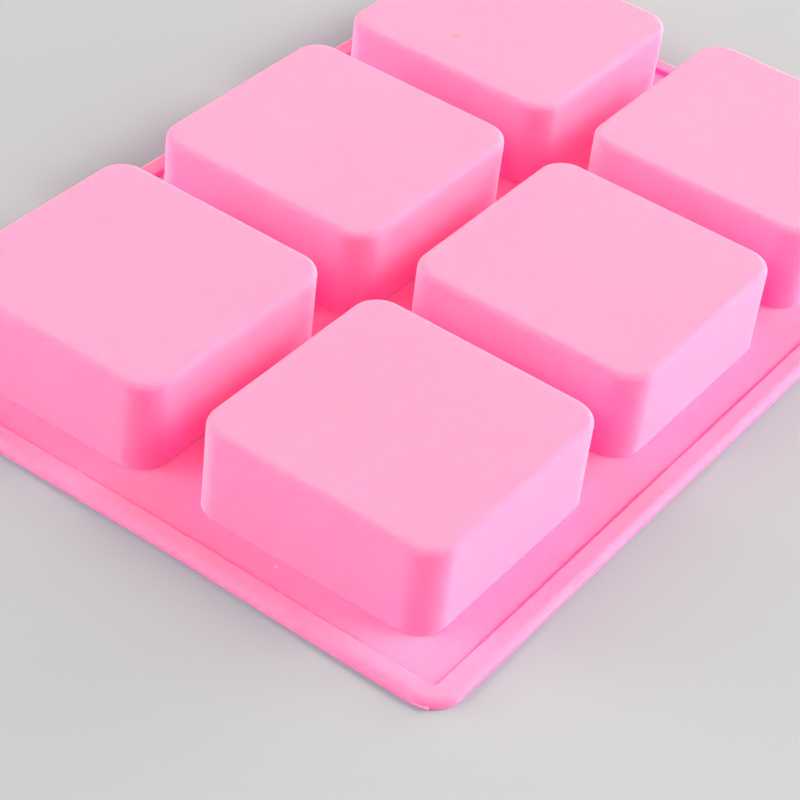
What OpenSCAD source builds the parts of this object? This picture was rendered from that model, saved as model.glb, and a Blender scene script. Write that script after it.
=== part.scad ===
// Six-cavity square soap mould, moulded in one piece of soft silicone.
// It lies with its closed cups upward and its open side on the surface:
// the origin is the middle of that open side, +Z up, +X along the row of three cups.
// The nodes are the regions of the one moulding, and they meet face to face.
// Units are millimetres.

/* [Cups] */
// Outside width of a square cup
cup_w = 70; // [55:0.5:80]
// Height of a cup above the deck
cup_h = 26; // [18:0.5:40]
// Outside radius of a cup's four upright corners
cup_corner_r = 8; // [5:0.5:14]
// Radius of the soft edge around a cup's closed end
cup_edge_r = 2; // [1:0.1:3]
// Gap between neighbouring cups
cup_gap = 13.5; // [8:0.5:20]

/* [Silicone] */
// Thickness of a cup's side walls
wall_t = 2; // [1.4:0.1:3]
// Thickness of a cup's closed end
floor_t = 2; // [1.4:0.1:3]
// Radius inside a cavity, between its side walls and its closed end
cavity_edge_r = 2; // [0.8:0.1:2.5]

/* [Deck and rim] */
// Thickness of the flat deck that joins the cups
deck_t = 1.5; // [1:0.1:2.5]
// Deck and rim showing outside the outermost cup walls
margin = 15.7; // [11:0.1:25]
// Width of the thick rim around the deck
rim_w = 6.05; // [5:0.05:7]
// Height of the rim
rim_h = 3; // [2.6:0.1:4]
// Plan radius of the rim's outer corners
rim_corner_r = 8.7; // [7.5:0.1:10]
// Plan radius of the rim's inner corners, tighter than the outer ones
rim_inner_corner_r = 1.2; // [1:0.1:3]
// Rounding of the rim's upper outer edge
rim_outer_edge_r = 1.8; // [0.8:0.1:2]
// Rounding of the rim's upper inner edge
rim_inner_edge_r = 0.5; // [0.3:0.1:0.9]

/* [Hidden] */
$fn = 64;

columns = 3;
rows = 2;
pitch = cup_w + cup_gap;
cavity_w = cup_w - 2 * wall_t;
cavity_corner_r = cup_corner_r - wall_t;
// A cavity's depth within its cup, from the deck's upper face to the closed end
cavity_h = cup_h - floor_t;
overall_x = (columns - 1) * pitch + cup_w + 2 * margin;
overall_y = (rows - 1) * pitch + cup_w + 2 * margin;
deck_x = overall_x - 2 * rim_w;
deck_y = overall_y - 2 * rim_w;
// A cutter starts this far outside the solid that it cuts
overcut = 1;

silicone_pink = [1.00, 0.62, 0.78];
deck_pink = [1.00, 0.55, 0.73];
rim_pink = [1.00, 0.58, 0.76];

// Centre of a cup; columns count from -X and rows from -Y
function cup_x(column) = (column - (columns - 1) / 2) * pitch;
function cup_y(row) = (row - (rows - 1) / 2) * pitch;

// A flat rectangle x by y about the origin, with round corners
module rounded_rectangle(x, y, corner_r) {
    square([x - 2 * corner_r, y], center = true);
    square([x, y - 2 * corner_r], center = true);
    for (sx = [-1, 1], sy = [-1, 1])
        translate([sx * (x / 2 - corner_r), sy * (y / 2 - corner_r)])
            circle(corner_r);
}

// Half of a block's upright section, from its middle out to `reach`, upper edge rounded
module half_section(reach, height, edge_r) {
    square([reach, height - edge_r]);
    square([reach - edge_r, height]);
    translate([reach - edge_r, height - edge_r])
        circle(edge_r);
}

// A block's whole upright section, w wide, both upper edges rounded
module whole_section(w, height, edge_r) {
    half_section(w / 2, height, edge_r);
    mirror([1, 0])
        half_section(w / 2, height, edge_r);
}

// A square block on z = 0 with round upright corners and a rounded upper edge
module soft_block(w, height, corner_r, edge_r) {
    straight = w - 2 * corner_r;
    for (turn = [0, 90])
        rotate([90, 0, turn])
            linear_extrude(straight, center = true)
                whole_section(w, height, edge_r);
    for (sx = [-1, 1], sy = [-1, 1])
        translate([sx * straight / 2, sy * straight / 2, 0])
            rotate_extrude()
                half_section(corner_r, height, edge_r);
}

// The cavity's shape, reaching below the cup so that it cuts the mouth open
module cavity_cutter() {
    translate([0, 0, -overcut])
        soft_block(cavity_w, cavity_h + overcut, cavity_corner_r, cavity_edge_r);
}

// One cup: four thin walls and a closed end, standing mouth down on the deck
module cup(column, row) {
    color(silicone_pink)
        translate([cup_x(column), cup_y(row), deck_t])
            difference() {
                soft_block(cup_w, cup_h, cup_corner_r, cup_edge_r);
                cavity_cutter();
            }
}

// The flat sheet between the cups, with the six mouths through it
module deck() {
    color(deck_pink)
        linear_extrude(deck_t)
            difference() {
                rounded_rectangle(deck_x, deck_y, rim_inner_corner_r);
                for (column = [0 : columns - 1], row = [0 : rows - 1])
                    translate([cup_x(column), cup_y(row)])
                        rounded_rectangle(cavity_w, cavity_w, cavity_corner_r);
            }
}

// The section of the rim's edge: x = 0 is where its flat top ends and x = edge_r its side face
module edge_section(edge_r) {
    square([edge_r, rim_h - edge_r]);
    intersection() {
        translate([0, rim_h - edge_r])
            circle(edge_r);
        square([edge_r, rim_h]);
    }
}

// Its children as they are where `side` is 1, and turned the other way in x where it is -1
module facing(side) {
    if (side > 0)
        children();
    else
        mirror([1, 0])
            children();
}

// A rounded edge along the outline x by y: on its outside where `side` is 1, on its inside where -1
module edge_band(x, y, corner_r, edge_r, side) {
    straight_x = x - 2 * corner_r;
    straight_y = y - 2 * corner_r;
    for (turn = [0 : 3]) {
        along_x = turn % 2 == 0;
        rotate(90 * turn)
            translate([0, along_x ? y / 2 : x / 2, 0])
                rotate([90, 0, 90])
                    linear_extrude(along_x ? straight_x : straight_y, center = true)
                        facing(side)
                            edge_section(edge_r);
        sx = turn == 0 || turn == 3 ? 1 : -1;
        sy = turn < 2 ? 1 : -1;
        translate([sx * straight_x / 2, sy * straight_y / 2, 0])
            rotate(90 * turn)
                rotate_extrude(angle = 90)
                    translate([corner_r, 0])
                        facing(side)
                            edge_section(edge_r);
    }
}

// The thick border: a flat-topped ring with a rounded edge on its outside and on its inside
module rim() {
    outer_x = overall_x - 2 * rim_outer_edge_r;
    outer_y = overall_y - 2 * rim_outer_edge_r;
    outer_r = rim_corner_r - rim_outer_edge_r;
    inner_x = deck_x + 2 * rim_inner_edge_r;
    inner_y = deck_y + 2 * rim_inner_edge_r;
    inner_r = rim_inner_corner_r + rim_inner_edge_r;
    color(rim_pink) {
        linear_extrude(rim_h)
            difference() {
                rounded_rectangle(outer_x, outer_y, outer_r);
                rounded_rectangle(inner_x, inner_y, inner_r);
            }
        edge_band(outer_x, outer_y, outer_r, rim_outer_edge_r, 1);
        edge_band(inner_x, inner_y, inner_r, rim_inner_edge_r, -1);
    }
}

module cup_front_left() { cup(0, 0); }
module cup_front_middle() { cup(1, 0); }
module cup_front_right() { cup(2, 0); }
module cup_back_left() { cup(0, 1); }
module cup_back_middle() { cup(1, 1); }
module cup_back_right() { cup(2, 1); }

deck();
rim();
cup_front_left();
cup_front_middle();
cup_front_right();
cup_back_left();
cup_back_middle();
cup_back_right();
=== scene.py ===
"""A one-piece pink silicone soap mould with six square cups, lying upside down on a pale table.

Every piece stands for one CAD node and takes its place and size from that node's box. Lengths
below are in millimetres in the CAD frame, unless a comment says metres, and each mesh is scaled
to metres when it is made. Angles are in degrees.
"""
import math

import bpy
from mathutils import Matrix, Vector


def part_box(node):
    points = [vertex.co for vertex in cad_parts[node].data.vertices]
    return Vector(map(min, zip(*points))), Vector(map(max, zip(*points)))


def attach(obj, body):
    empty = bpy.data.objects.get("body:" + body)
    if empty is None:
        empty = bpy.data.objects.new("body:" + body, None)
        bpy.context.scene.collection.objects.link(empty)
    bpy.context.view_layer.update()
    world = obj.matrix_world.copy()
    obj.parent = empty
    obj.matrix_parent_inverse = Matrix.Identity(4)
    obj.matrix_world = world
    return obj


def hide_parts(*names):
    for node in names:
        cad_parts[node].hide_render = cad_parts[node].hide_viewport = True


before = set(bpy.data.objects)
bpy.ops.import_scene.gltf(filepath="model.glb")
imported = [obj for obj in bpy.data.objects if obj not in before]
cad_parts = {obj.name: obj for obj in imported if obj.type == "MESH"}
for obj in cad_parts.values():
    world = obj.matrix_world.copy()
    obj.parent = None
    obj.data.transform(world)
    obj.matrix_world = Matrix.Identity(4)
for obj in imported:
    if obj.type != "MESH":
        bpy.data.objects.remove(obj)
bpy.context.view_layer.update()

MM = 0.001

# ---------------------------------------------------------------- the moulding's dimensions
WALL = 2.0                # thickness of a cup's walls and of its closed end
CUP_CORNER_R = 8.0        # plan radius of a cup's outer corners
CUP_EDGE_R = 2.0          # rounding around a cup's closed end
CAVITY_EDGE_R = 2.0       # the same inside the cavity
FOOT_R = 0.12             # small fillet where a cup's wall meets the deck
FOOT_DEPTH = 0.5          # how far a cup's foot reaches into the deck, so that no gap shows
FOOT_TUCK = 0.3           # the foot's inside face is this far back from the cavity's face
MOUTH_R = 0.8             # rounding of a cavity's mouth, on the open side
FIRST_RING = 0.9          # the deck's evenly spaced rings start this far outside a cup
RIM_CORNER_R = 8.7        # plan radius of the rim's outer corners
RIM_INNER_CORNER_R = 1.2  # plan radius of the step down to the deck, at the rim's inner corners
RIM_OUTER_R = 1.8         # rounding of the rim's upper outer edge
RIM_INNER_R = 0.5         # rounding of the rim's upper inner edge
RIM_BASE_R = 0.12         # rounding of the rim's lower outer edge
UNDERCUT = 0.06           # the rim below the parting line is this much narrower
UNDERCUT_DROP = 0.3       # how far below the parting line the undercut is full
FLASH = 0.4               # how far the thin flash stands out from the rim
FLASH_Z = 1.0             # height of the parting line, where the flash is
FLASH_T = 0.16            # half the flash's thickness at its root
FLASH_TIP_T = 0.05        # half its thickness at its tip
FLASH_SLOPE = 0.08        # how far in the root's lower edge lies from its upper one
FLASH_CORNER_R = 7.3      # the flash rounds the corners less than the rim does
TRIM_X_SIDES = 4.1        # the left and right sides' flash is cut off this far into a corner
TRIM_Y_SIDES = -1.7       # the front and back sides' flash is cut off this far before one
TRIM_LENGTH = 0.3         # length of the slanting cut

# ---------------------------------------------------------------- how the soft moulding lies
WANDER = 0.03             # how far the rim's line strays from straight
WANDER_RIPPLE = 0.7       # share of that in its shorter waves
WANDER_REACH = 16.0       # how far in from the outer face the sheet follows the rim
DENT = 0.6                # how far the left rim is pushed in, at most
DENT_Y = -12.0            # where along the rim that is
DENT_SPREAD = 34.0        # how far the dent reaches to either side of it
LIFT = 0.5                # how far the back and right edges rise off the table
LIFT_SWAY = 0.3           # how much of that comes and goes along an edge
LIFT_FROM_X = 95.0        # the right edge's lift starts here
LIFT_FROM_Y = 60.0        # the back edge's lift starts here
STEADY_Z = 12.0           # the cups above this height don't follow the lift
WALL_BOW = 0.2            # how far a cup's wall bows in
END_DISH = 0.2            # how far a closed end sags in its middle
DISH_FROM_Z = 20.0        # the sag starts at this height in a cup
DISH_FULL_Z = 25.0        # and is full at this one

# ---------------------------------------------------------------- mesh densities
ARC_STEPS = 8             # steps in half of a cup's round corner
STRAIGHT_STEPS = 28       # steps along a cup's straight side
CUP_SIDE = 2 * ARC_STEPS + STRAIGHT_STEPS
WALL_STEPS = 12           # steps up a cup's wall
FILLET_STEPS = 8          # steps round a cup's soft edge
DECK_RINGS = 6            # rings of faces between a cup and the edge of its part of the deck
RIM_ARC_STEPS = 14        # steps in half of the rim's round corner
RIM_STEP = 1.2            # spacing of the rim's sections along its straight runs

# ---------------------------------------------------------------- camera, colours and light
CAMERA_AZIMUTH = -58.32   # 0 is on the -Y side, and 90 on the +X side
CAMERA_ELEVATION = 39.474
CAMERA_ROLL = 7.373
CAMERA_TARGET = (-52.16, -20.93, 1.5)
CAMERA_DISTANCE = 623.6
CAMERA_LENS = 111.11      # focal length for a sensor 36 mm wide

PINK = (0.982, 0.183, 0.674)
SSS_RADIUS = (0.5, 0.05, 0.06)  # how far red, green and blue light spreads within the silicone
SSS_SCALE = 0.0025              # metres for a radius of 1
# The light is yellowish and the table bluish, so together they give a neutral grey.
TABLE_DARK = (0.279, 0.276, 0.657, 1.0)
TABLE_LIGHT = (0.284, 0.281, 0.671, 1.0)
TABLE_GRAIN = (0.255, 0.253, 0.600, 1.0)
TABLE_HALF = 2.5          # half the table's width, in metres
TABLE_DROP = 0.00005      # the table lies this far under the moulding, in metres

LIGHT_COLOUR = (1.32, 1.34, 0.548)
WORLD_STRENGTH = 0.01
SOFTBOX_SIZE = (1.6, 1.0)  # metres
SOFTBOX_DISTANCE = 3.0     # metres
# Each softbox: its azimuth and elevation, and its power in watts.
SOFTBOXES = {
    "key": (30, 40, 83),
    "key_low": (30, 22, 8),
    "right_high": (60, 40, 21),
    "right": (60, 22, 23),
    "right_low": (60, 8, 50),
    "far_low": (90, 8, 60),
    "back_high": (210, 40, 18),
    "back": (210, 22, 29),
    "back_low": (210, 8, 50),
    "left_high": (240, 40, 38),
    "left": (240, 22, 8),
    "near_left": (300, 40, 23),
    "front": (0, 22, 3),
    "front_low": (0, 8, 25),
}

# Small flaws of this moulding, for each material: place, radius, and the factors on the pink. The pale
# spot on the deck is not a flaw but a painted highlight, the light that a tiny nub there would catch.
FLAWS_AND_PAINTED_HIGHLIGHT = {
    # Painted highlight: a paler spot where a tiny nub on the deck would catch the light.
    "deck_silicone": [((-120.8, -35.6, 1.5), 0.75, (1.0, 1.7, 1.2))],
    "rim_silicone": [((-94.0, -91.4, 2.6), 0.5, (1.0, 0.85, 0.72))],
    "cup_silicone": [((64.5, 48.4, 27.3), 1.6, (1.0, 0.88, 0.7)),
                     ((-92.8, 48.3, 27.3), 0.45, (0.98, 0.88, 0.86)),
                     ((-19.3, -42.4, 27.3), 0.45, (0.98, 0.88, 0.86)),
                     ((-90.0, -31.0, 27.3), 6.0, (1.0, 0.975, 0.95)),
                     ((-93.0, -56.0, 27.3), 6.5, (1.0, 0.975, 0.95)),
                     ((-75.0, -65.0, 27.3), 5.0, (1.0, 0.975, 0.95))],
}


# ---------------------------------------------------------------- what the frame gives
def node_box(node):
    """Lowest and highest corner of a CAD node."""
    low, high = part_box(node)
    return low / MM, high / MM


def plan_centre(node):
    """The middle of a CAD node in plan."""
    low, high = node_box(node)
    return (low.x + high.x) / 2, (low.y + high.y) / 2


CUPS = [name for name in sorted(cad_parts) if name.startswith("cup_")]
CUP_CENTRES = [plan_centre(node) for node in CUPS]
CUP_LOW, CUP_HIGH = node_box(CUPS[0])
CUP_HALF = (CUP_HIGH.x - CUP_LOW.x) / 2
CUPS_TOP = CUP_HIGH.z
RIM_LOW, RIM_HIGH = node_box("rim")
RIM_TOP = RIM_HIGH.z
DECK_LOW, DECK_HIGH = node_box("deck")
DECK_TOP = DECK_HIGH.z
RIM_W = DECK_LOW.x - RIM_LOW.x


# ---------------------------------------------------------------- outlines
def arc_points(centre, radius, start, end, steps):
    """Points on an arc from one angle to another, without its last one."""
    angles = [math.radians(start + (end - start) * k / steps) for k in range(steps)]
    return [(centre[0] + radius * math.cos(a), centre[1] + radius * math.sin(a)) for a in angles]


def line_points(start, end, steps):
    """Points on a straight line, without its last one."""
    return [(start[0] + (end[0] - start[0]) * k / steps,
             start[1] + (end[1] - start[1]) * k / steps) for k in range(steps)]


def rounded_outline(centre, half, corner_r, arc_steps, straight_steps):
    """A rectangle with round corners, anticlockwise from the middle of its low corner's arc.

    half is its half size in x and y. straight_steps is for the sides along x and along y."""
    reach = (half[0] - corner_r, half[1] - corner_r)
    corners = [(centre[0] + sx * reach[0], centre[1] + sy * reach[1])
               for sx, sy in ((-1, -1), (1, -1), (1, 1), (-1, 1))]
    points = []
    for side in range(4):
        here, there = corners[side], corners[(side + 1) % 4]
        facing = 270 + 90 * side
        out = (corner_r * math.cos(math.radians(facing)), corner_r * math.sin(math.radians(facing)))
        points += arc_points(here, corner_r, facing - 45, facing, arc_steps)
        points += line_points((here[0] + out[0], here[1] + out[1]),
                              (there[0] + out[0], there[1] + out[1]), straight_steps[side % 2])
        points += arc_points(there, corner_r, facing, facing + 45, arc_steps)
    return points


def cup_outline(centre, outset):
    """A cup's outline in plan, grown by an outset or shrunk where that is negative."""
    return rounded_outline(centre, (CUP_HALF + outset, CUP_HALF + outset), CUP_CORNER_R + outset,
                           ARC_STEPS, (STRAIGHT_STEPS, STRAIGHT_STEPS))


def even_outline(low, high, radii, side_steps):
    """A rectangle whose corners have their own radii, with evenly spaced points along each side.

    It runs anticlockwise from the middle of its low corner's arc."""
    signs = ((1, 1), (-1, 1), (-1, -1), (1, -1))
    corners = ((low[0], low[1]), (high[0], low[1]), (high[0], high[1]), (low[0], high[1]))
    points = []
    for side in range(4):
        facing = 270 + 90 * side
        out = (math.cos(math.radians(facing)), math.sin(math.radians(facing)))
        arcs = []
        ends = []
        for corner in (side, (side + 1) % 4):
            centre = (corners[corner][0] + signs[corner][0] * radii[corner],
                      corners[corner][1] + signs[corner][1] * radii[corner])
            arcs.append((centre, radii[corner], radii[corner] * math.pi / 4))
            ends.append((centre[0] + out[0] * radii[corner], centre[1] + out[1] * radii[corner]))
        length = math.dist(*ends)
        total = arcs[0][2] + length + arcs[1][2]
        for k in range(side_steps):
            gone = total * k / side_steps - arcs[0][2]
            if 0 <= gone <= length:
                share = gone / length
                points.append((ends[0][0] + (ends[1][0] - ends[0][0]) * share,
                               ends[0][1] + (ends[1][1] - ends[0][1]) * share))
                continue
            centre, radius, arc = arcs[0] if gone < 0 else arcs[1]
            past = gone if gone < 0 else gone - length
            angle = math.radians(facing + 45 * past / arc)
            points.append((centre[0] + radius * math.cos(angle), centre[1] + radius * math.sin(angle)))
    return points


def steps_between(start, end, count):
    """count + 1 even values from start to end."""
    return [start + (end - start) * k / count for k in range(count + 1)]


def quarter(radius, steps):
    """(across, along) from (0, 0) to (radius, radius) round a quarter circle."""
    angles = [math.pi / 2 * k / steps for k in range(steps + 1)]
    return [(radius * (1 - math.cos(a)), radius * math.sin(a)) for a in angles]


# ---------------------------------------------------------------- the soft moulding's lie
def smooth(low, high, value):
    """0 below low, 1 above high, and a smooth step between."""
    t = min(1.0, max(0.0, (value - low) / (high - low)))
    return t * t * (3 - 2 * t)


def wander(along, wave, phase, ripple, ripple_phase):
    """How far the rim's line strays outward at a place along it, which is never past the true line."""
    swing = math.sin(along / wave + phase) + WANDER_RIPPLE * math.sin(along / ripple + ripple_phase)
    return WANDER * (swing - 1 - WANDER_RIPPLE)


def relaxed(point):
    """Where a point of the true shape lies on the soft moulding.

    One field moves all the pieces, so they stay together: the rim's line wanders a little, its
    far edges lift off the table, the cups' closed ends dish, and their walls bow in."""
    x, y, z = point
    edge_x = smooth(RIM_HIGH.x - WANDER_REACH, RIM_HIGH.x, abs(x))
    edge_y = smooth(RIM_HIGH.y - WANDER_REACH, RIM_HIGH.y, abs(y))
    wander_y = wander(x, 23.0, 0.6, 11.3, 2.0)
    wander_x = wander(y, 19.0, 1.9, 9.1, 0.4)
    if x < 0:
        wander_x -= DENT * math.exp(-((y - DENT_Y) / DENT_SPREAD) ** 2)
    x += edge_x * wander_x * math.copysign(1, x)
    y += edge_y * wander_y * math.copysign(1, y)
    low_part = 1 - smooth(DECK_TOP, STEADY_Z, z)
    lift = LIFT * smooth(LIFT_FROM_Y, RIM_HIGH.y, y) * (1 + LIFT_SWAY * math.sin(x / 17.0))
    lift += LIFT * smooth(LIFT_FROM_X, RIM_HIGH.x, x) * (1 + LIFT_SWAY * math.sin(y / 15.0))
    z += lift * low_part

    centre = min(CUP_CENTRES, key=lambda c: math.dist(c, (x, y)))
    u, v = (x - centre[0]) / CUP_HALF, (y - centre[1]) / CUP_HALF
    if z > DECK_TOP and max(abs(u), abs(v)) <= 1.001:
        bow = WALL_BOW * math.sin(math.pi * (z - DECK_TOP) / (CUPS_TOP - DECK_TOP)) ** 2
        x -= bow * u * (1 - v * v)
        y -= bow * v * (1 - u * u)
        z -= END_DISH * (1 - u * u) * (1 - v * v) * smooth(DISH_FROM_Z, DISH_FULL_Z, z)
    return Vector((x, y, z))


# ---------------------------------------------------------------- building skins
class Skin:
    """Points and faces of one piece, gathered ring by ring."""

    def __init__(self):
        self.points = []
        self.faces = []

    def ring(self, outline, z):
        """Adds an outline's points at height z, and gives their numbers."""
        first = len(self.points)
        self.points += [(x, y, z) for x, y in outline]
        return list(range(first, len(self.points)))

    def bridge(self, lower, upper):
        """A band of faces between two closed rings, facing out when lower runs anticlockwise."""
        count = len(lower)
        for k in range(count):
            after = (k + 1) % count
            self.faces.append((lower[k], lower[after], upper[after], upper[k]))

    def bridge_all(self, rings):
        """Bands of faces from each ring to the next."""
        for lower, upper in zip(rings, rings[1:]):
            self.bridge(lower, upper)

    def patch(self, ring, steps, z, upward):
        """Fills a ring of four equal sides with a smooth grid at height z."""
        def at(index):
            return self.points[ring[index % (4 * steps)]]

        def blended(i, j, axis):
            u, v = i / steps, j / steps
            bottom, top = at(i)[axis], at(3 * steps - i)[axis]
            left, right = at(4 * steps - j)[axis], at(steps + j)[axis]
            corner = [at(k * steps)[axis] for k in range(4)]
            flat = ((1 - u) * (1 - v) * corner[0] + u * (1 - v) * corner[1]
                    + u * v * corner[2] + (1 - u) * v * corner[3])
            return (1 - v) * bottom + v * top + (1 - u) * left + u * right - flat

        grid = {}
        for i in range(steps + 1):
            grid[i, 0] = ring[i]
            grid[i, steps] = ring[3 * steps - i]
            grid[0, i] = ring[(4 * steps - i) % (4 * steps)]
            grid[steps, i] = ring[steps + i]
        for i in range(1, steps):
            for j in range(1, steps):
                grid[i, j] = len(self.points)
                self.points.append((blended(i, j, 0), blended(i, j, 1), z))
        for i in range(steps):
            for j in range(steps):
                face = (grid[i, j], grid[i + 1, j], grid[i + 1, j + 1], grid[i, j + 1])
                self.faces.append(face if upward else face[::-1])

    def make(self, name, material, sharp_angle=40):
        """The piece as an object in the scene, smooth apart from its sharp edges."""
        mesh = bpy.data.meshes.new(name)
        mesh.from_pydata([relaxed(p) * MM for p in self.points], [], self.faces)
        mesh.validate()
        mesh.update()
        mesh.shade_smooth()
        mesh.set_sharp_from_angle(angle=math.radians(sharp_angle))
        mesh.materials.append(material)
        piece = bpy.data.objects.new(name, mesh)
        bpy.context.scene.collection.objects.link(piece)
        return piece


# ---------------------------------------------------------------- the cups
def cup_skin(node):
    """One cup: outer walls, soft edge and closed end, and the cavity within."""
    centre = plan_centre(node)
    low, high = node_box(node)
    base, top = low.z, high.z
    skin = Skin()

    outside = [(0.0, base - FOOT_DEPTH)]
    for across, along in quarter(FOOT_R, 4):
        outside.append((along - FOOT_R, base + across))
    for z in steps_between(base + FOOT_R, top - CUP_EDGE_R, WALL_STEPS)[1:]:
        outside.append((0.0, z))
    for across, along in quarter(CUP_EDGE_R, FILLET_STEPS)[1:]:
        outside.append((across, top - CUP_EDGE_R + along))
    outer_rings = [skin.ring(cup_outline(centre, -inset), z) for inset, z in outside]
    skin.bridge_all(outer_rings)
    skin.patch(outer_rings[-1], CUP_SIDE, top, upward=True)

    ceiling = top - WALL
    inside = [(WALL - FOOT_TUCK, base - FOOT_DEPTH), (WALL - FOOT_TUCK, base)]
    for z in steps_between(base, ceiling - CAVITY_EDGE_R, WALL_STEPS):
        inside.append((WALL, z))
    for across, along in quarter(CAVITY_EDGE_R, FILLET_STEPS)[1:]:
        inside.append((WALL + across, ceiling - CAVITY_EDGE_R + along))
    inner_rings = [skin.ring(cup_outline(centre, -inset), z) for inset, z in inside]
    skin.bridge_all(inner_rings[::-1])
    skin.patch(inner_rings[-1], CUP_SIDE, ceiling, upward=False)
    skin.bridge(inner_rings[0], outer_rings[0])
    return skin


# ---------------------------------------------------------------- the deck
def spread(start, end, share):
    """An outline part of the way from one outline to another."""
    return [(a[0] + (b[0] - a[0]) * share, a[1] + (b[1] - a[1]) * share)
            for a, b in zip(start, end)]


def deck_cell(skin, centre, low, high, outer_side):
    """The part of the sheet around one cup, from its cavity's mouth out to a rectangle.

    outer_side says of each side, from the front one anticlockwise, whether it is the deck's own."""
    radii = [RIM_INNER_CORNER_R if outer_side[k] and outer_side[k - 1] else 0.0 for k in range(4)]
    edge = even_outline(low, high, radii, CUP_SIDE)
    near = cup_outline(centre, FIRST_RING)
    top_rings = [skin.ring(cup_outline(centre, outset), DECK_TOP) for outset in (-WALL, 0.0, FOOT_R)]
    top_rings += [skin.ring(spread(near, edge, share), DECK_TOP)
                  for share in steps_between(0.0, 1.0, DECK_RINGS)]
    skin.bridge_all(top_rings[::-1])

    mouth = [top_rings[0]]
    for z in steps_between(DECK_TOP, MOUTH_R, 3)[1:]:
        mouth.append(skin.ring(cup_outline(centre, -WALL), z))
    for across, along in quarter(MOUTH_R, 6)[1:]:
        mouth.append(skin.ring(cup_outline(centre, across - WALL), MOUTH_R - along))
    skin.bridge_all(mouth)

    under_start = cup_outline(centre, MOUTH_R - WALL)
    under = [mouth[-1]] + [skin.ring(spread(under_start, edge, share), 0.0)
                           for share in steps_between(0.0, 1.0, DECK_RINGS)[1:]]
    skin.bridge_all(under)

    for side in range(4):
        if not outer_side[side]:
            continue
        for k in range(side * CUP_SIDE, (side + 1) * CUP_SIDE):
            after = (k + 1) % (4 * CUP_SIDE)
            skin.faces.append((under[-1][k], under[-1][after], top_rings[-1][after], top_rings[-1][k]))


def cell_edges(start, centres, end):
    """Where the deck's cells meet along an axis: its two ends, and midway between cups."""
    return [start] + [(a + b) / 2 for a, b in zip(centres, centres[1:])] + [end]


def deck_skin():
    """The flat sheet, built cell by cell around each cup."""
    skin = Skin()
    centres_x = sorted({round(x, 3) for x, y in CUP_CENTRES})
    centres_y = sorted({round(y, 3) for x, y in CUP_CENTRES})
    edges_x = cell_edges(DECK_LOW.x, centres_x, DECK_HIGH.x)
    edges_y = cell_edges(DECK_LOW.y, centres_y, DECK_HIGH.y)
    last_column, last_row = len(centres_x) - 1, len(centres_y) - 1
    for column, cx in enumerate(centres_x):
        for row, cy in enumerate(centres_y):
            outer_side = (row == 0, column == last_column, row == last_row, column == 0)
            deck_cell(skin, (cx, cy), (edges_x[column], edges_y[row]),
                      (edges_x[column + 1], edges_y[row + 1]), outer_side)
    return skin


# ---------------------------------------------------------------- the rim
def flash_left(x, y):
    """How much of the flash is left at a place on the rim: it is trimmed off round the corners."""
    past_x = abs(x) - (RIM_HIGH.x - RIM_CORNER_R)
    past_y = abs(y) - (RIM_HIGH.y - RIM_CORNER_R)
    on_x_side = past_x > past_y
    into_corner = past_y if on_x_side else past_x
    trim_at = TRIM_X_SIDES if on_x_side else TRIM_Y_SIDES
    ragged = 0.92 + 0.05 * math.sin(x / 9.1 + y / 7.7) + 0.03 * math.sin(x / 3.3 - y / 4.1)
    return ragged * (1 - smooth(trim_at, trim_at + TRIM_LENGTH, into_corner))


def rim_profile():
    """The rim's section as (inset from the CAD's outer face, height, share of the flash).

    It runs up the inner face, out over the top, and down past the flash to the underside."""
    profile = [(RIM_W, 0.0, 0), (RIM_W, DECK_TOP / 2, 0), (RIM_W, DECK_TOP, 0),
               (RIM_W, RIM_TOP - RIM_INNER_R, 0)]
    for across, along in quarter(RIM_INNER_R, 5)[1:]:
        profile.append((RIM_W - across, RIM_TOP - RIM_INNER_R + along, 0))
    for inset in steps_between(RIM_W - RIM_INNER_R, FLASH + RIM_OUTER_R, 8)[1:]:
        profile.append((inset, RIM_TOP, 0))
    for across, along in quarter(RIM_OUTER_R, 10)[::-1][1:]:
        profile.append((FLASH + across, RIM_TOP - RIM_OUTER_R + along, 0))
    profile += [(FLASH, FLASH_Z + FLASH_T, 0),
                (FLASH, FLASH_Z + FLASH_TIP_T, 1),
                (FLASH, FLASH_Z - FLASH_TIP_T, 1),
                (FLASH + FLASH_SLOPE, FLASH_Z - FLASH_T, 0),
                (FLASH + UNDERCUT, FLASH_Z - UNDERCUT_DROP, 0),
                (FLASH + UNDERCUT, RIM_BASE_R, 0)]
    for across, along in quarter(RIM_BASE_R, 4)[1:]:
        profile.append((FLASH + UNDERCUT + across, RIM_BASE_R - along, 0))
    for inset in steps_between(FLASH + UNDERCUT + RIM_BASE_R, RIM_W, 6)[1:-1]:
        profile.append((inset, 0.0, 0))
    return profile


def rim_corner_r(inset):
    """The plan radius of the rim's corner at a distance in from its outer face."""
    flat_start, flat_end = FLASH + RIM_OUTER_R, RIM_W - RIM_INNER_R
    if inset <= flat_start:
        return RIM_CORNER_R - inset
    if inset >= flat_end:
        return RIM_INNER_CORNER_R + RIM_W - inset
    share = (inset - flat_start) / (flat_end - flat_start)
    return (RIM_CORNER_R - flat_start) * (1 - share) + (RIM_INNER_CORNER_R + RIM_INNER_R) * share


def rim_skin():
    """The thick border: its section carried all the way round."""
    skin = Skin()
    half = (RIM_HIGH.x, RIM_HIGH.y)
    straight = tuple(round(2 * (h - RIM_CORNER_R) / RIM_STEP) for h in half)
    tip = rounded_outline((0.0, 0.0), half, FLASH_CORNER_R, RIM_ARC_STEPS, straight)
    rings = []
    for inset, z, flash in rim_profile():
        outline = rounded_outline((0.0, 0.0), (half[0] - inset, half[1] - inset),
                                  rim_corner_r(inset), RIM_ARC_STEPS, straight)
        if flash:
            moved = []
            for (x, y), (tx, ty) in zip(outline, tip):
                share = flash_left(x, y)
                moved.append((x + (tx - x) * share, y + (ty - y) * share))
            outline = moved
        rings.append(skin.ring(outline, z))
    skin.bridge_all([rings[0]] + rings[:0:-1] + [rings[0]])
    return skin


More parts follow.
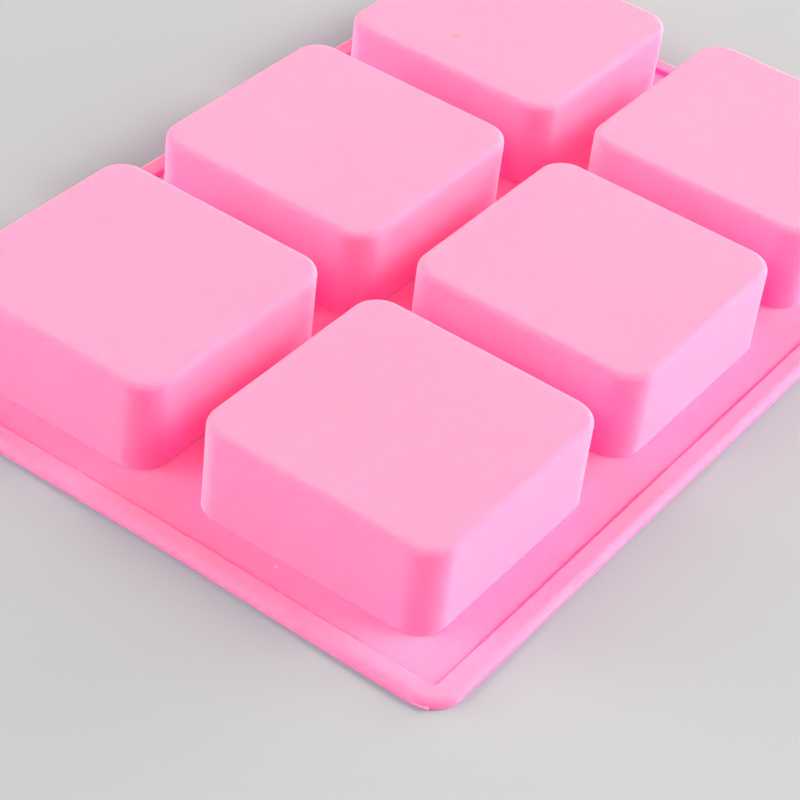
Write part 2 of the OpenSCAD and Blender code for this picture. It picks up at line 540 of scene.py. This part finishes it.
# ---------------------------------------------------------------- materials
class Nodes:
    """A short way to add and join shader nodes."""

    def __init__(self, material):
        material.use_nodes = True
        self.tree = material.node_tree
        self.tree.nodes.clear()

    def add(self, kind, settings=None, **inputs):
        """A new node, with its settings and its inputs: an input's name has _ for a space."""
        node = self.tree.nodes.new(kind)
        for key, value in (settings or {}).items():
            setattr(node, key, value)
        for key, value in inputs.items():
            self.set(node, key.replace("_", " "), value)
        return node

    def set(self, node, socket, value):
        """Joins another node's output to a socket, or sets the socket's own value."""
        if isinstance(value, bpy.types.NodeSocket):
            self.tree.links.new(value, node.inputs[socket])
        else:
            node.inputs[socket].default_value = value

    def noise(self, place, scale, detail=3.0, roughness=0.5):
        """Noise about 0.5, with scale waves to a metre."""
        node = self.add("ShaderNodeTexNoise", Vector=place, Scale=scale, Detail=detail,
                        Roughness=roughness)
        return node.outputs["Fac"]

    def remap(self, value, from_low, from_high, to_low, to_high):
        """A value taken from one range to another, and held at its ends."""
        node = self.tree.nodes.new("ShaderNodeMapRange")
        for socket, given in zip(("Value", "From Min", "From Max", "To Min", "To Max"),
                                 (value, from_low, from_high, to_low, to_high)):
            self.set(node, socket, given)
        return node.outputs["Result"]

    def spot(self, place, centre, radius):
        """1 at a centre, falling softly to 0 at the radius."""
        node = self.add("ShaderNodeVectorMath", {"operation": "DISTANCE"})
        self.tree.links.new(place, node.inputs[0])
        node.inputs[1].default_value = centre
        return self.remap(node.outputs["Value"], 0.4 * radius, radius, 1.0, 0.0)

    def mix(self, factor, first, second):
        """The first colour where the factor is 0, and the second where it is 1."""
        node = self.add("ShaderNodeMix", {"data_type": "RGBA"})
        for index, given in ((0, factor), (6, first), (7, second)):
            self.set(node, index, given)
        return node.outputs[2]

    def surface(self, shader):
        """Makes a shader the material's surface."""
        output = self.add("ShaderNodeOutputMaterial")
        self.tree.links.new(shader.outputs[0], output.inputs["Surface"])


def tinted(pink, factors):
    """The pink with a factor on each of its channels."""
    return tuple(min(1.0, c * k) for c, k in zip(pink, factors)) + (1.0,)


def rare_specks(nodes, place):
    """1 in a dark speck, and 0 elsewhere: few cells of a 12 mm grid have one."""
    cells = nodes.add("ShaderNodeTexVoronoi", {"feature": "F1"}, Vector=place, Scale=85.0,
                      Randomness=1.0)
    chosen = nodes.add("ShaderNodeSeparateColor", Color=cells.outputs["Color"]).outputs["Red"]
    rare = nodes.remap(chosen, 0.955, 0.96, 0.0, 1.0)
    dot = nodes.remap(cells.outputs["Distance"], 0.018, 0.032, 1.0, 0.0)
    speck = nodes.add("ShaderNodeMath", {"operation": "MULTIPLY"})
    nodes.set(speck, 0, rare)
    nodes.set(speck, 1, dot)
    return speck.outputs[0]


def silicone_colour(nodes, place, pink, marks):
    """The pink with broad clouds, warm mottles, rare specks, and this moulding's own marks, one of
    which, the pale spot on the deck, is a painted highlight.
    """
    cloud = nodes.noise(place, 14.0, detail=2.0)
    mottle = nodes.noise(place, 75.0, detail=4.0, roughness=0.6)
    pale = tuple(min(1.0, c * 1.008 + 0.002) for c in pink) + (1.0,)
    deep = tinted(pink, (0.998, 0.985, 0.99))
    warm = tinted(pink, (1.0, 0.92, 0.86))
    colour = nodes.mix(nodes.remap(cloud, 0.35, 0.65, 0.0, 1.0), deep, pale)
    colour = nodes.mix(nodes.remap(mottle, 0.60, 0.78, 0.0, 0.35), colour, warm)
    colour = nodes.mix(rare_specks(nodes, place), colour, tinted(pink, (0.92, 0.62, 0.66)))
    # Each mark is mixed in softly; the deck's pale one is a painted highlight.
    for centre, radius, factors in marks:
        near = nodes.spot(place, Vector(centre) * MM, radius * MM)
        colour = nodes.mix(near, colour, tinted(pink, factors))
    return colour


def silicone_skin(nodes, place):
    """The normal of a skin with a fine grain and a slow ripple."""
    grain = nodes.noise(place, 2600.0, detail=2.0)
    ripple = nodes.noise(place, 120.0, detail=2.0)
    fine = nodes.add("ShaderNodeBump", Strength=0.10, Distance=0.00008, Height=grain)
    broad = nodes.add("ShaderNodeBump", Strength=0.25, Distance=0.00006, Height=ripple,
                      Normal=fine.outputs["Normal"])
    return broad.outputs["Normal"]


def silicone(name, pink, marks):
    """Soft translucent silicone: satin skin, and light that spreads inside."""
    material = bpy.data.materials.new(name)
    nodes = Nodes(material)
    place = nodes.add("ShaderNodeTexCoord").outputs["Object"]
    smear = nodes.noise(place, 38.0, detail=3.0)
    shader = nodes.add("ShaderNodeBsdfPrincipled",
                       Base_Color=silicone_colour(nodes, place, pink, marks),
                       Roughness=nodes.remap(smear, 0.3, 0.7, 0.50, 0.60),
                       Normal=silicone_skin(nodes, place),
                       IOR=1.42,
                       Specular_IOR_Level=0.01,
                       Subsurface_Weight=1.0,
                       Subsurface_Radius=SSS_RADIUS,
                       Subsurface_Scale=SSS_SCALE)
    nodes.surface(shader)
    return material


def table_top():
    """A pale grey matt laminate, a little uneven in tone."""
    material = bpy.data.materials.new("pale_table")
    nodes = Nodes(material)
    place = nodes.add("ShaderNodeTexCoord").outputs["Object"]
    cloud = nodes.noise(place, 3.0, detail=3.0)
    grain = nodes.noise(place, 900.0, detail=3.0)
    tone = nodes.mix(nodes.remap(cloud, 0.3, 0.7, 0.0, 1.0), TABLE_DARK, TABLE_LIGHT)
    tone = nodes.mix(nodes.remap(grain, 0.4, 0.6, 0.0, 0.05), tone, TABLE_GRAIN)
    bump = nodes.add("ShaderNodeBump", Strength=0.08, Distance=0.0001, Height=grain)
    shader = nodes.add("ShaderNodeBsdfPrincipled", Base_Color=tone, Roughness=0.9,
                       Specular_IOR_Level=0.0, Normal=bump.outputs["Normal"])
    nodes.surface(shader)
    return material


# ---------------------------------------------------------------- camera, light and table
def direction(azimuth, elevation):
    """Unit vector from the object towards a place at that azimuth and elevation."""
    a, e = math.radians(azimuth), math.radians(elevation)
    return Vector((math.sin(a) * math.cos(e), -math.cos(a) * math.cos(e), math.sin(e)))


def add_camera():
    """The camera, turned about its own line of sight by its roll."""
    data = bpy.data.cameras.new("camera")
    camera = bpy.data.objects.new("camera", data)
    bpy.context.scene.collection.objects.link(camera)
    bpy.context.scene.camera = camera
    back = direction(CAMERA_AZIMUTH, CAMERA_ELEVATION)
    level = Vector((math.cos(math.radians(CAMERA_AZIMUTH)), math.sin(math.radians(CAMERA_AZIMUTH)), 0))
    upright = back.cross(level)
    turn = math.radians(CAMERA_ROLL)
    right = level * math.cos(turn) + upright * math.sin(turn)
    up = upright * math.cos(turn) - level * math.sin(turn)
    place = (Vector(CAMERA_TARGET) + back * CAMERA_DISTANCE) * MM
    camera.matrix_world = Matrix(((right.x, up.x, back.x, place.x),
                                  (right.y, up.y, back.y, place.y),
                                  (right.z, up.z, back.z, place.z),
                                  (0, 0, 0, 1)))
    data.lens = CAMERA_LENS
    data.sensor_width = 36.0
    data.clip_start = 0.01
    data.clip_end = 50.0


def add_softbox(name, azimuth, elevation, power):
    """A large soft light that faces the object and isn't seen itself."""
    data = bpy.data.lights.new(name, "AREA")
    data.shape = "RECTANGLE"
    data.size, data.size_y = SOFTBOX_SIZE
    data.energy = power
    data.color = LIGHT_COLOUR
    light = bpy.data.objects.new(name, data)
    bpy.context.scene.collection.objects.link(light)
    towards = direction(azimuth, elevation)
    light.location = towards * SOFTBOX_DISTANCE
    light.rotation_mode = "QUATERNION"
    light.rotation_quaternion = (-towards).to_track_quat("-Z", "Y")
    light.visible_camera = False


def add_world():
    """A very weak even light from all round."""
    world = bpy.data.worlds.new("studio")
    bpy.context.scene.world = world
    world.use_nodes = True
    background = world.node_tree.nodes["Background"]
    background.inputs["Color"].default_value = (*LIGHT_COLOUR, 1.0)
    background.inputs["Strength"].default_value = WORLD_STRENGTH


def add_table():
    """The table that the moulding lies on, which isn't part of the object."""
    half = TABLE_HALF
    mesh = bpy.data.meshes.new("table")
    mesh.from_pydata([(-half, -half, 0), (half, -half, 0), (half, half, 0), (-half, half, 0)], [],
                     [(0, 1, 2, 3)])
    mesh.materials.append(table_top())
    table = bpy.data.objects.new("table", mesh)
    bpy.context.scene.collection.objects.link(table)
    table.location.z = -TABLE_DROP


# ---------------------------------------------------------------- assembly
bpy.context.scene.view_settings.view_transform = "Standard"
add_camera()
add_table()
add_world()
for softbox, (azimuth, elevation, power) in SOFTBOXES.items():
    add_softbox(softbox, azimuth, elevation, power)

materials = {slot: silicone(slot, PINK, marks) for slot, marks in FLAWS_AND_PAINTED_HIGHLIGHT.items()}


def add_piece(skin, node, slot):
    """Puts a skin in the scene in place of its CAD node."""
    piece = skin.make(node + "_skin", materials[slot])
    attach(piece, "root")
    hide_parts(node)


add_piece(deck_skin(), "deck", "deck_silicone")
add_piece(rim_skin(), "rim", "rim_silicone")
for cup in CUPS:
    add_piece(cup_skin(cup), cup, "cup_silicone")
